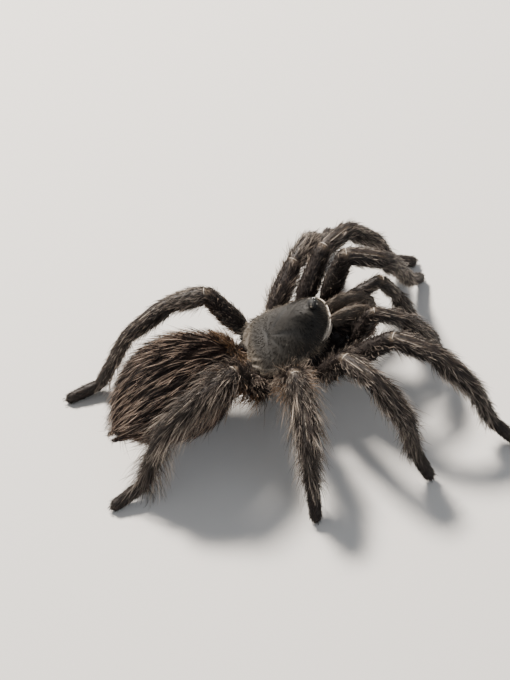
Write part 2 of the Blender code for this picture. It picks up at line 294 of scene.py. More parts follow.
def rimForms():
    # the bare pale edge over each knee, and fine lines along the bare stripes: pale cuticle, drawn bright
    # in part as painted glints
    made = []
    for surface in limbSurfaces.values():
        points, reach, turn = surface["points"], surface["reach"], surface["turn"]
        knee, past = surface["joints"][2], surface["joints"][3]
        row = int(np.searchsorted(reach, knee + 0.25))
        middle = points[row].mean(0)
        over = np.abs(turn - np.pi / 2) < knees["edgeHalf"]
        arc = points[row][over] + unit(points[row][over] - middle) * 0.02
        made.append(plainTube(arc, swelling(knees["edge"], len(arc), 0.1), 30, 8, "rim"))
        if surface["striped"]:
            first, last = knee + 1.0, knee + 0.8 * (past - knee)
            angles = (np.pi / 2 - knees["apart"], np.pi / 2 + knees["apart"])
        else:
            tibia = surface["joints"][4] - past
            first, last = past + 0.06 * tibia, past + 0.85 * tibia
            angles = (np.pi / 2,)
        rows = np.arange(np.searchsorted(reach, first), np.searchsorted(reach, last), 3)
        for angle in angles:
            column = int(np.abs(turn - angle).argmin())
            line = points[rows, column]
            made.append(plainTube(line, swelling(knees["line"], len(line), 0.15), 30, 6, "rim"))
    return made


limbNames = [(limb, side) for side in "rl" for limb in ("palp", "leg1", "leg2", "leg3", "leg4")]
limbSurfaces = {limb + "_" + side: limbSurface(limb, side) for limb, side in limbNames}
print("limbs shaped:", len(limbSurfaces))


# abdomen, waist and spinnerets

abdomen = {
    "front": 12.2,
    "frontHeight": 16.0,
    "length": 34.0,
    "width": 25.2,
    "height": 23.0,
    "turn": 23.0,
    "droop": 3.5,
    "coat": 0.9,  # how far the skin lies inside the coat's outline
    "fold": 0.12,  # height of the soft skin's slow folds
    "widest": 1.05,  # over 1 moves the widest place back
    "blunt": 0.54,  # under 1 blunts the ends
    "rows": 120,
    "columns": 96,
}


def abdomenSurface():
    # an egg swept along its axis: its radius is a power of the sine of the distance along it
    back = heading(180 + abdomen["turn"], -abdomen["droop"])
    front = fromBody((-abdomen["front"], 0, 0))
    front[2] = abdomen["frontHeight"]
    inset = abdomen["coat"]
    t = (1 - np.cos(np.linspace(0, np.pi, abdomen["rows"]))) / 2
    spread = np.sin(np.pi * t[1:-1] ** abdomen["widest"]) ** abdomen["blunt"]
    spread = np.concatenate([[0.02], spread, [0.02]])
    centres = front + np.outer(inset * 0.6 + t * (abdomen["length"] - inset * 1.5), back)
    half = abdomen["width"] / 2 - inset
    tall = abdomen["height"] / 2 - inset
    points, turn = tube(centres, spread * half, spread * tall, abdomen["columns"])
    along, up = t[:, None], np.sin(turn)[None, :]
    fold = np.sin(9 * turn + 5 * along) * np.sin(13 * along + 1.3 * np.cos(turn))
    middle = points.mean(1, keepdims=True)
    points = points + unit(points - middle) * (fold * abdomen["fold"] * spread[:, None])[..., None]
    frontGlow = smoothStep(0.12, 0.02, along) * smoothStep(-0.6, 0.4, up)
    marking = mixed(tone["abdomenDark"], tone["abdomenBrown"], 0.3 + 0.3 * up)
    marking = mixed(marking, tone["waistOrange"], 0.5 * frontGlow)
    return surfaceFrom(points, marking, t=t, turn=turn, back=back, rear=centres[-1])


abdomenForm = abdomenSurface()


spinnerets = {
    # from the middle, below the abdomen's rear, angle outward, length past the abdomen, half thickness
    "long": (2.1, 2.6, 16, 4.0, 0.6),
    "short": (0.95, 3.6, 4, 1.7, 0.5),
    "rise": 6,
    "inside": 2.5,  # how far the tube starts inside the abdomen
    "steps": (0, 0.3, 0.6, 1.0),
    "taper": (1.3, 1.1, 1.0, 0.95, 0.7),
}


def spinneretForms():  # a tapering tube from inside the abdomen for each
    made = []
    across = np.cross(abdomenForm["back"], (0, 0, 1))
    for sign in (-1, 1):
        for apart, drop, splay, reach, thick in (spinnerets["long"], spinnerets["short"]):
            way = heading(180 + abdomen["turn"] - sign * splay, spinnerets["rise"])
            root = abdomenForm["rear"] - across * sign * apart - np.array([0, 0, drop])
            ends = [root - way * spinnerets["inside"] + [0, 0, 0.8]]
            ends += [root + way * reach * step for step in spinnerets["steps"]]
            made.append(plainTube(ends, thick * np.array(spinnerets["taper"]), 26, 14, "legDark"))
    return made


# jaws, breastplate and the soft flank under the carapace

jaws = {
    "side": 2.25,
    "width": 4.1,
    "depth": 9.2,
    "back": 12.8,
    "reach": 7.0,
    "coat": 0.5,
    "rootBack": 1.2,  # how far the root is drawn back under the carapace
    "endRound": 0.12,
    # places along the joint, and there its height, width and depth
    "steps": (0.0, 0.22, 0.48, 0.72, 0.9, 1.0),
    "fall": (0.9, 1.3, 0.8, -0.9, -3.1, -4.7),
    "wide": (0.86, 0.98, 1.0, 0.95, 0.82, 0.6),
    "deep": (0.84, 0.98, 1.0, 0.92, 0.74, 0.5),
    "rows": 64,
    "columns": 44,
}


def jawSurface(sign):
    # the joint arches forward and down; rings stay square to the arch
    t = np.linspace(0, 1, jaws["rows"])

    def evened(values):  # a running mean of seven rows
        return np.convolve(np.pad(values, 3, "reflect", reflect_type="odd"), np.ones(7) / 7, "valid")

    fore = jaws["back"] + jaws["reach"] * np.sin(np.array(jaws["steps"]) * np.pi / 2)
    fore = evened(np.interp(t, jaws["steps"], fore) - jaws["rootBack"] * (1 - smoothStep(0, 0.2, t)))
    fall = evened(np.interp(t, jaws["steps"], jaws["fall"]))
    centres = fromBody(np.stack([fore, np.full_like(fore, sign * jaws["side"]), fall], 1))
    wide = np.interp(t, jaws["steps"], jaws["wide"]) * jaws["width"] / 2 - jaws["coat"] * 0.6
    deep = np.interp(t, jaws["steps"], jaws["deep"]) * jaws["depth"] / 2 - jaws["coat"]
    end = roundEnd(1 - t, jaws["endRound"])
    points, turn = tube(centres, wide * end, deep * end, jaws["columns"])
    # lighter on top, darker below: painted light and shade
    marking = mixed(tone["legDark"], tone["jawBrown"], 0.35 + 0.35 * np.sin(turn)[None, :])
    return surfaceFrom(points, marking, t=t, turn=turn)


def ellipsoid(middle, half, rows, columns, colour, pole=0.04):
    # fixed to the front body; rows run from nose to tail and stop just short of the poles
    t = np.linspace(pole, np.pi - pole, rows)[:, None]
    turn = np.linspace(0, 2 * np.pi, columns, endpoint=False)[None, :]
    way = [np.cos(t) + 0 * turn, np.sin(t) * np.cos(turn), np.sin(t) * np.sin(turn)]
    return surfaceFrom(fromBody(np.stack(way, -1) * half + middle), colour)


trunk = {  # middle, half sizes and grid of each soft form under the carapace
    "sternum": ((-0.2, 0, -4.3), (6.4, 3.9, 1.9), 40, 40),
    "flank": ((-1.0, 0, -1.9), (11.5, 9.0, 2.6), 40, 48),
    "jawRoot": ((11.2, 0, -1.9), (3.6, 4.9, 2.6), 32, 40),
    "waist": ((-6, 0, -2.4), (-10, 0, -1.9)),  # the first two points of its middle line
    "waistGirth": (1.5, 1.4, 1.7),
}
spinneretTubes = spinneretForms()
jawForms = {side: jawSurface(1 if side == "l" else -1) for side in "rl"}
sternumForm, flankForm, jawRootForm = (
    ellipsoid(*trunk[name], tone["legDark"]) for name in ("sternum", "flank", "jawRoot"))
waistLine = [*fromBody(trunk["waist"]), abdomenForm["points"][12].mean(0)]
waistForm = plainTube(waistLine, trunk["waistGirth"], 30, 20, "abdomenBrown")


# meshes


def newObject(name, mesh):
    made = bpy.data.objects.new(name, mesh)
    bpy.context.scene.collection.objects.link(made)
    return made


def meshFrom(name, points, faces, marking):
    # faces is a list of index arrays, each with its own number of corners
    mesh = bpy.data.meshes.new(name)
    corners = np.concatenate([f.ravel() for f in faces])
    sizes = np.concatenate([np.full(len(f), f.shape[1]) for f in faces])
    starts = np.concatenate([[0], np.cumsum(sizes)[:-1]])
    mesh.vertices.add(len(points))
    mesh.vertices.foreach_set("co", np.ascontiguousarray(points, np.float32).ravel())
    mesh.loops.add(len(corners))
    mesh.loops.foreach_set("vertex_index", corners.astype(np.int32))
    mesh.polygons.add(len(starts))
    mesh.polygons.foreach_set("loop_start", starts.astype(np.int32))
    layer = mesh.color_attributes.new("marking", "FLOAT_COLOR", "POINT")
    rgba = np.ones((len(points), 4), np.float32)
    rgba[:, :3] = marking
    layer.data.foreach_set("color", rgba.ravel())
    mesh.update(calc_edges=True)
    mesh.validate()
    mesh.shade_smooth()
    return mesh


def closedGrid(surface, first):  # the surface's grid as quads with a fan at each end
    points = surface["points"]
    rows, columns = points.shape[:2]
    index = np.arange(rows * columns).reshape(rows, columns) + first
    nextOne = np.roll(index, -1, 1)
    quads = np.stack([index[:-1], nextOne[:-1], nextOne[1:], index[1:]], -1).reshape(-1, 4)
    head = np.full(columns, first + rows * columns)
    fans = [np.stack([head, nextOne[0], index[0]], -1), np.stack([head + 1, index[-1], nextOne[-1]], -1)]
    tris = np.concatenate(fans)

    def withPoles(grid):
        return np.concatenate([grid.reshape(-1, 3), [grid[0].mean(0)], [grid[-1].mean(0)]])

    ring, corner = points[rows // 2], points[rows // 2, 0]
    facing = np.cross(ring[1] - corner, points[rows // 2 + 1, 0] - corner)
    if facing @ (corner - ring.mean(0)) < 0:
        quads, tris = quads[:, ::-1], tris[:, ::-1]
    return withPoles(points), quads, tris, withPoles(surface["marking"])


def gridMesh(name, surfaces):
    grids, first = [], 0
    for surface in surfaces:
        grids.append(closedGrid(surface, first))
        first += len(grids[-1][0])
    points, quads, tris, marks = (np.concatenate(group) for group in zip(*grids))
    return meshFrom(name, toFrame(points), [quads, tris], marks)


def baked(source, name):  # the object's mesh with its modifiers applied
    graph = bpy.context.evaluated_depsgraph_get()
    mesh = bpy.data.meshes.new_from_object(source.evaluated_get(graph))
    mesh.name = name
    return mesh


# one skin over every soft part

skinValues = {"voxel": 0.41, "smooth": 3, "lowest": 0.03}


def makeSkin():
    forms = list(limbSurfaces.values()) + [abdomenForm, waistForm, sternumForm, flankForm, jawRootForm]
    forms += list(jawForms.values()) + spinneretTubes
    source = newObject("skinForms", gridMesh("skinForms", forms))
    shell = newObject("skinShell", source.data.copy())
    remesh = shell.modifiers.new("one skin", "REMESH")
    remesh.mode = "VOXEL"
    remesh.voxel_size = skinValues["voxel"] * mm * 1
    smooth = shell.modifiers.new("even", "SMOOTH")
    smooth.factor = 0.5
    smooth.iterations = skinValues["smooth"]
    mesh = baked(shell, "skin")
    mesh.color_attributes.new("marking", "FLOAT_COLOR", "POINT")
    skin = newObject("skin", mesh)
    carry = skin.modifiers.new("markings", "DATA_TRANSFER")
    carry.object = source
    carry.use_vert_data = True
    carry.data_types_verts = {"COLOR_VERTEX"}
    carry.vert_mapping = "POLYINTERP_NEAREST"
    skin.data = baked(skin, "skin")
    skin.modifiers.clear()
    for old in (source, shell):
        bpy.data.objects.remove(old, do_unlink=True)
    skin.data.shade_smooth()
    points = np.empty(len(skin.data.vertices) * 3, np.float32)
    skin.data.vertices.foreach_get("co", points)
    points[2::3] = np.maximum(points[2::3], skinValues["lowest"] * mm)
    skin.data.vertices.foreach_set("co", points)
    return skin


skin = makeSkin()
print("skin faces:", len(skin.data.polygons))


# carapace: a hard plate under short velvet

carapace = {
    "length": 23.4,
    "width": 18.6,
    "forward": 0.55,
    "frontNarrowing": 0.13,
    "square": 0.74,  # power of the rim's outline: lower is squarer
    "rearRise": 4.2,
    "headRise": 8.4,
    "rim": 0.9,
    "rimSlope": 0.08,
    "frontLift": 1.0,
    "crownAhead": 1.5,  # the crown lies this far ahead of the rim's middle
    "headStart": 1.0,  # where the head part begins to rise, and over what length it does
    "headFade": 2.0,
    "fovea": -4.0,
    "foveaDepth": 0.1,
    "grooves": 0.1,  # depth of the furrows that run out from the fovea
    # angle, width and strength of each furrow; the first pair bounds the head
    "furrows": ((0.56, 0.13, 1.0), (1.12, 0.12, 0.5), (1.75, 0.12, 0.25), (2.35, 0.12, 0.3)),
    # the underside: share of the rim's size, and how far below the rim
    "under": ((1.0, 0.25), (0.995, 0.45), (0.97, 0.7), (0.9, 0.75), (0.6, 0.5), (0.25, 0.4)),
    "bead": 0.16,  # height of the raised line along the rim
    "frontEdge": 0.17,  # half thickness of the bare front edge, pale partly as a painted highlight
    "rearFold": 0.14,  # height of the soft folds along the rear margin
    "coat": 0.28,
    "rows": 96,
    "columns": 180,
}


def carapaceSurface():
    # rays run from the crown to the rim; the height falls as a power of the distance out,
    # a high power ahead so that the head stays high to the front
    rho = np.linspace(0.015, 1.0, carapace["rows"])[:, None] ** 0.85
    turn = np.linspace(0, 2 * np.pi, carapace["columns"], endpoint=False)[None, :]
    half = carapace["length"] / 2 - carapace["coat"]
    c, s = np.cos(turn), np.sin(turn)
    fore = half * np.sign(c) * np.abs(c) ** carapace["square"]
    side = (carapace["width"] / 2 - carapace["coat"]) * np.sign(s) * np.abs(s) ** carapace["square"]
    side = side * (1 - carapace["frontNarrowing"] * np.clip(fore / half, -0.4, 1))
    forward = fore * rho + carapace["crownAhead"] * (1 - rho) + carapace["forward"]
    left = side * rho
    ahead = 1 / (1 + np.exp(-(forward - carapace["headStart"]) / carapace["headFade"]))
    crown = carapace["rearRise"] + (carapace["headRise"] - carapace["rearRise"]) * ahead - carapace["coat"]
    rim = carapace["rim"] + carapace["rimSlope"] * np.clip(forward, -4, None)
    rim = rim + carapace["frontLift"] * np.clip(forward / half, 0, 1) ** 2
    power = 2.2 + ahead * (3.0 * np.clip(c, 0, 1) ** 4 - 0.6)
    up = rim + (crown - carapace["rim"]) * (1 - rho ** power) ** 0.9
    away = forward - carapace["fovea"]
    dent = np.exp(-(((away + 0.06 * left ** 2) / 0.55) ** 2) - (left / 1.7) ** 2)
    up = up - carapace["foveaDepth"] * dent
    angle = np.arctan2(np.abs(left), away)
    gone = np.hypot(away, left)
    furrow = sum(deep * np.exp(-(((angle - at) / wide) ** 2)) for at, wide, deep in carapace["furrows"])
    furrow = furrow * smoothStep(0.8, 3.0, gone) * smoothStep(0.97, 0.7, rho)
    up = up - carapace["grooves"] * furrow
    rear = smoothStep(0.72, 0.86, rho) * smoothStep(-6.0, -9.0, forward)
    crease = np.sin(rho * 38 + 2.2 * np.cos(3 * turn) + 1.7 * np.sin(5 * turn + 1))
    crease = crease * (0.5 + 0.5 * np.sin(9 * turn))
    up = up + carapace["rearFold"] * rear * crease
    top = np.stack([forward, left, up], -1)
    bead = smoothStep(0.93, 0.985, rho) * smoothStep(1.0, 0.985, rho)
    top[..., 2] += carapace["bead"] * bead
    lower = [top[-1] * (share, share, 1) - (0, 0, drop) for share, drop in carapace["under"]]
    points = fromBody(np.concatenate([top, np.stack(lower)]))
    mottle = 0.5 + 0.5 * np.sin(left * 1.9 + 2 * np.sin(forward * 1.3)) * np.sin(forward * 1.6 + left)
    # darker in the furrows and the fovea's dent: painted shade; the mottle is the plate's own uneven tone
    olive = 0.35 + 0.45 * smoothStep(0.2, 0.95, rho) + 0.2 * mottle - 0.45 * furrow - 0.5 * dent
    # tan at the rim is the margin's own colour; the tan over the rear folds, strongest on their crests, is
    # painted light
    tan = 0.12 * smoothStep(0.93, 1.0, rho) + 0.22 * rear * (1 + 0.3 * crease)
    marking = mixed(tone["shellDark"], tone["shellOlive"], np.clip(olive, 0, 1))
    marking = mixed(marking, tone["shellTan"], tan)
    # pale front edge of the plate: its own pale edge, with a painted highlight along it
    frontRim = smoothStep(0.93, 0.96, rho) * smoothStep(7.8, 9.8, forward)
    marking = mixed(marking, tone["rim"], 0.9 * frontRim)
    marking = np.concatenate([marking, np.repeat(marking[-1:], len(lower), 0)])
    surface = surfaceFrom(points, marking)
    rows = carapace["rows"]
    surface["velvet"] = surfaceFrom(points[:rows], marking[:rows], 0.85 * frontRim, rho=rho, turn=turn[0],
                                    forward=forward, rear=rear)
    return surface


carapaceForm = carapaceSurface()
shell = newObject("carapaceShell", gridMesh("carapaceShell", [carapaceForm]))


def frontEdge():  # the bare pale edge over the jaws, partly a painted highlight along it
    rimLine = carapaceForm["points"][carapace["rows"] - 4]
    turn = carapaceForm["velvet"]["turn"]
    turn = np.where(turn > np.pi, turn - 2 * np.pi, turn)
    pick = np.argsort(turn)
    pick = pick[np.abs(turn[pick]) < 0.95]
    middle = rimLine.mean(0)
    line = rimLine[pick] + unit(rimLine[pick] - middle) * 0.1
    along = np.linspace(0.06, np.pi - 0.06, len(line))
    uneven = 1 + 0.25 * np.sin(11 * along) + 0.2 * np.sin(23 * along + 1)
    radii = swelling(carapace["frontEdge"], len(line), 0.06) * uneven
    return plainTube(line, radii, 120, 10, "rim")


rims = newObject("paleEdgesAndGlints", gridMesh("paleEdgesAndGlints", rimForms() + [frontEdge()]))
print("carapace faces:", len(shell.data.polygons))


# eyes on their mound

eyes = {
    "mound": (1.3, 1.8, 1.15),
    "sunk": 0.93,  # a lens's middle lies at this share of the mound's size
    # forward, left and up on the mound as shares of its size, then the radius; each has a twin
    "dark": ((0.42, 0.28, 0.80, 0.36),),
    "pearly": ((0.80, 0.62, 0.35, 0.30), (-0.30, 0.52, 0.80, 0.24), (-0.45, 0.78, 0.48, 0.32)),
}


def lenses(kind):
    made = []
    for sign in (-1, 1):
        for forward, left, up, radius in eyes[kind]:
            way = np.array([forward, sign * left, up])
            place = body["eyeMound"] + unit(way) * eyes["mound"] * eyes["sunk"]
            made.append(ellipsoid(place, radius, 16, 20, np.zeros(3), 0.02))
    return newObject(kind + "Eyes", gridMesh(kind + "Eyes", made))


moundForm = ellipsoid(body["eyeMound"], eyes["mound"], 28, 36, tone["shellDark"] * 0.6, 0.02)
mound = newObject("eyeMound", gridMesh("eyeMound", [moundForm]))
darkEyes, pearlyEyes = lenses("dark"), lenses("pearly")
print("eyes:", 2 * sum(len(eyes[kind]) for kind in ("dark", "pearly")))


# fangs and claws

fangs = {
    "length": 7.0,
    "width": 1.5,
    "root": (19.3, 2.25, -4.2),  # half a millimetre inside the end of the jaw
    "bend": (-96, -120, -144, -162, -174),  # the way it points, stretch by stretch, in degrees
    "taper": (1.0, 0.92, 0.78, 0.6, 0.4, 0.16),
}
claws = {"length": 0.8, "thick": 0.13, "apart": 0.35}


def fangForm(sign):
    bend = np.radians(fangs["bend"])
    ways = np.stack([np.cos(bend), np.full_like(bend, -0.06), np.sin(bend)], 1)
    steps = np.concatenate([[fangs["root"]], ways * fangs["length"] / len(bend)])
    ends = fromBody(np.cumsum(steps, 0) * (1, sign, 1))
    return plainTube(ends, fangs["width"] / 2 * np.array(fangs["taper"]), 40, 18, "pad")


def clawForms():
    made = []
    for limb, side in limbNames:
        joints = limbJoints(limb, side)
        way = unit(joints[-1] - joints[-2])
        across = unit(np.cross(way, (0, 0, 1)))
        for twin in (-1, 1):
            root = joints[-1] - way * 0.1 + across * twin * claws["apart"] + [0, 0, 0.45]
            bend = root + way * 0.5 * claws["length"] + [0, 0, 0.08]
            tip = root + way * claws["length"] - [0, 0, 0.35]
            ends = np.maximum([root, bend, tip], (-np.inf, -np.inf, 0.15))  # clear of the floor
            made.append(plainTube(ends, [claws["thick"], claws["thick"] * 0.8, 0.04], 10, 8, "pad"))
    return made


fangPiece = newObject("fangs", gridMesh("fangs", [fangForm(-1), fangForm(1)]))
clawPiece = newObject("claws", gridMesh("claws", clawForms()))


# coat: every hair is a thin spike that follows the lie, drawn towards its tuft

hairs = {
    "shade": 0.25,  # spread of brightness from hair to hair
    "lift": 0.3,  # spread of the angle off the skin and of the length, as shares
    "reach": 0.22,
    "stray": 0.07,  # bend to any side
    "sunk": 0.12,  # depth of a root in the skin
    "thinning": 0.55,  # power with which a hair thins towards its tip
    "ripple": 7.5,  # turn of a wavy hair's ripple, in radians
    "patch": 0.003,  # size of a hair's patch on the OFBake map
    "lowest": 0.02,  # no hair reaches below this height
}
grown = {"triangles": 0}


def nearestTuft(root, lie, spacing, stretch, area, rng):
    # tuft centres are a random pick of the roots; distance along the lie counts for less
    tufts = max(6, int(area / spacing ** 2 / stretch))
    pick = rng.integers(0, len(root), tufts)
    centres = root[pick].astype(np.float32)
    near = np.empty(len(root), int)
    for a in range(0, len(root), 1500):
        gap = centres[None] - root[a : a + 1500, None].astype(np.float32)
        along = (gap * lie[a : a + 1500, None].astype(np.float32)).sum(-1)
        near[a : a + 1500] = ((gap ** 2).sum(-1) - along ** 2 * (1 - 1 / stretch ** 2)).argmin(1)
    gap = root[pick][near] - root
    along = lie * (gap * lie).sum(1, keepdims=True)
    apart = np.linalg.norm(gap - along, axis=1) / spacing
    return near, tufts, gap - along * 0.8, apart


def growOn(surface, count, density, seed, length, width, rise, bend, base, tip, rings=3,
           spread=0.2, tuft=0.0, stretch=2.0, pull=0.6, wave=0.0, droop=0.0, crest=0.0,
           line=0.3, early=0.0, vary=0.3, uvBox=(0, 0, 1, 1)):
    # roots fall on the cells by area times density; a value is a number, or one for each cell.
    # rise is the angle off the skin in degrees, bend how far a hair curves back to it, and spread
    # how far it turns from the lie in radians; tuft is the tufts' spacing in millimetres, stretch
    # their length against their width, pull how far a hair is drawn to its tuft, vary their
    # brightness; crest is how far the tip colour keeps to the middle line of a tuft, line that
    # line's half width, early the share of the tip colour already at the root
    rng = np.random.default_rng(seed)
    rows, columns = surface["points"].shape[:2]
    weight = surface["area"] * np.broadcast_to(density, (rows, columns)) * (1 - surface["bare"])
    weight = weight[:-1].ravel()
    count = max(8, int(count * thin))
    edges = np.cumsum(weight) / weight.sum()
    cell = np.searchsorted(edges, (np.arange(count) + rng.random(count)) / count).clip(0, len(edges) - 1)
    i, j = cell // columns, cell % columns
    a, b = rng.random(count), rng.random(count)

    def at(grid):  # the grid's value at each root, between its four corners
        extra = (1,) * (grid.ndim - 2)
        aa, bb = a.reshape(-1, *extra), b.reshape(-1, *extra)
        j2 = (j + 1) % columns
        near = grid[i, j] * (1 - bb) + grid[i, j2] * bb
        far = grid[i + 1, j] * (1 - bb) + grid[i + 1, j2] * bb
        return near * (1 - aa) + far * aa

    def value(given):
        if np.ndim(given) == 0:
            return np.full(count, float(given))
        return at(np.broadcast_to(given, (rows, columns)))

    root = at(surface["points"])
    normal = unit(at(surface["normal"]))
    lie = at(surface["lie"])
    lie = unit(lie - normal * (lie * normal).sum(1, keepdims=True))
    aside = np.cross(normal, lie)
    shade = np.exp(rng.normal(0, hairs["shade"], count))
    swing = rng.normal(0, 1, count) * spread
    drawn, tipped = np.zeros((count, 3)), np.ones(count)
    phase = rng.uniform(0, 2 * np.pi, count)
    ripple = wave * rng.uniform(0.4, 1.2, count)
    if tuft:
        near, tufts, gap, apart = nearestTuft(root, lie, tuft, stretch, surface["area"][:-1].sum(), rng)
        drawn = gap * pull
        tipped = 1 - crest * (1 - np.exp(-((apart / line) ** 2)))
        shade = shade * np.exp(rng.normal(0, vary, tufts))[near]
        swing = swing * 0.4 + (rng.normal(0, 1, tufts) * spread)[near]
        phase = phase * 0.12 + rng.uniform(0, 2 * np.pi, tufts)[near]
        ripple = ripple * 0.3 + (wave * rng.uniform(0.2, 1.3, tufts))[near]
    lie = unit(lie * np.cos(swing)[:, None] + aside * np.sin(swing)[:, None])
    angle = np.radians(value(rise) * (1 + rng.normal(0, hairs["lift"], count))).clip(0.04, 1.4)
    start = lie * np.cos(angle)[:, None] + normal * np.sin(angle)[:, None]
    lengths = value(length) * (1 + rng.normal(0, hairs["reach"], count)).clip(0.45, 1.7)
    curve = (lie - start) * (value(bend) * rng.uniform(0.5, 1.5, count))[:, None]
    curve = curve + rng.normal(0, hairs["stray"], (count, 3))
    curve = curve - np.array([0, 0, 1.0]) * value(droop)[:, None]
    u0, v0, u1, v1 = uvBox
    place = np.stack([u0 + (u1 - u0) * (i + a) / rows, v0 + (v1 - v0) * (j + b) / columns], 1)

    def paint(given):  # one colour, or one for each cell
        return at(np.broadcast_to(given, (rows, columns, 3))) * shade[:, None]

    baseTone, tipTone = paint(base), paint(tip)
    tipTone = baseTone + (tipTone - baseTone) * tipped[:, None]
    baseTone = baseTone + (tipTone - baseTone) * early
    return {
        "root": root - normal * hairs["sunk"],
        "start": start,
        "curve": curve,
        "length": lengths,
        "drawn": drawn,
        "aside": np.cross(normal, lie) * ripple[:, None],
        "phase": phase,
        "width": value(width) * rng.uniform(0.75, 1.25, count),
        "base": baseTone,
        "tip": tipTone,
        "uv": place,
        "rings": np.full(count, rings),
    }


def joined(groups):
    return {key: np.concatenate([g[key] for g in groups]) for key in groups[0]}


def spikes(h, rings, first):
    # centre line: root + length (t start + t squared curve / 2) + t squared drawn + t sine of t aside
    n = len(h["length"])
    t = np.linspace(0, 1, rings + 1)
    turns = np.arange(3) * 2 * np.pi / 3
    side = unit(np.cross(h["start"], np.array([0.31, 0.52, 0.79])))
    other = np.cross(h["start"], side)
    tt = t[None, :, None]
    centre = h["root"][:, None] + h["length"][:, None, None] * (
        tt * h["start"][:, None] + tt ** 2 * h["curve"][:, None] / 2)
    centre = centre + tt ** 2 * h["drawn"][:, None]
    phase = h["phase"][:, None, None]
    ripple = np.sin(hairs["ripple"] * tt + phase) - np.sin(phase)
    centre = centre + tt * ripple * h["aside"][:, None]
    radius = h["width"][:, None] / 2 * ((1 - t[:-1]) ** hairs["thinning"])[None, :]
    ring = np.cos(turns)[:, None] * side[:, None] + np.sin(turns)[:, None] * other[:, None]
    sides = centre[:, :-1, None] + ring[:, None] * radius[:, :, None, None]
    block = np.concatenate([sides.reshape(n, rings * 3, 3), centre[:, -1:]], 1)
    per = rings * 3 + 1
    base = first + np.arange(n)[:, None, None] * per
    quads = np.array([[r * 3 + k, r * 3 + (k + 1) % 3, r * 3 + 3 + (k + 1) % 3, r * 3 + 3 + k]
                      for r in range(rings - 1) for k in range(3)])
    last = rings * 3 - 3
    tips = np.array([[last + k, last + (k + 1) % 3, last + 3] for k in range(3)] + [[2, 1, 0]])
    faces = [(base + quads[None]).reshape(-1, 4), (base + tips[None]).reshape(-1, 3)]
    share = np.concatenate([np.repeat(t[:-1], 3), [1.0]])
    blend = smoothStep(0.15, 0.85, share)[None, :, None]
    marks = h["base"][:, None] * (1 - blend) + h["tip"][:, None] * blend
    around = np.concatenate([np.tile(np.arange(3) / 2 - 0.5, rings), [0.0]])
    patch = h["uv"][:, None] + np.stack([share - 0.5, around], -1)[None] * hairs["patch"]
    return block.reshape(-1, 3), faces, marks.reshape(-1, 3), patch.reshape(-1, 2).clip(0.001, 0.999)


def coatPiece(name, groups):
    blocks, first = [], 0
    for rings in sorted({int(g["rings"][0]) for g in groups}):
        alike = joined([g for g in groups if g["rings"][0] == rings])
        blocks.append(spikes(alike, rings, first))
        first += len(blocks[-1][0])
    points, faces, marks, places = zip(*blocks)
    points, faces = np.concatenate(points), sum(faces, [])
    points[:, 2] = np.maximum(points[:, 2], hairs["lowest"])
    mesh = meshFrom(name, toFrame(points), faces, np.concatenate(marks))
    layer = mesh.uv_layers.new(name="OFBake")
    corner = np.empty(len(mesh.loops), np.int32)
    mesh.loops.foreach_get("vertex_index", corner)
    layer.data.foreach_set("uv", np.concatenate(places)[corner].astype(np.float32).ravel())
    triangles = sum(len(f) * (f.shape[1] - 2) for f in faces)
    grown["triangles"] += triangles
    print(name, "hairs", sum(len(g["length"]) for g in groups), "triangles", triangles)
    return newObject(name, mesh)


legCoat = {
    "velvet": 2600,
    "bristles": 2000,
    "long": 1050,
    "pad": 300,
    "velvetLength": 1.1,
    "bristleLength": 2.6,
    "longLength": 4.6,
    "padLength": 0.75,
    "width": 0.13,
    "tuft": 0.75,
    # number and length of hairs against the second legs
    "growth": {"palp": 0.5, "leg1": 0.95, "leg2": 1.0, "leg3": 1.05, "leg4": 1.15},
    "reach": {"palp": 0.8, "leg1": 0.8, "leg2": 0.95, "leg3": 1.42, "leg4": 1.5},
    # length and lift of hair on the left legs against the right
    "left": {"palp": 0.7, "leg1": 0.7, "leg2": 0.75, "leg3": 0.65, "leg4": 0.4},
    "fringe": {"palp": 0.5, "leg1": 0.9, "leg2": 1.0, "leg3": 1.25, "leg4": 1.55},
}


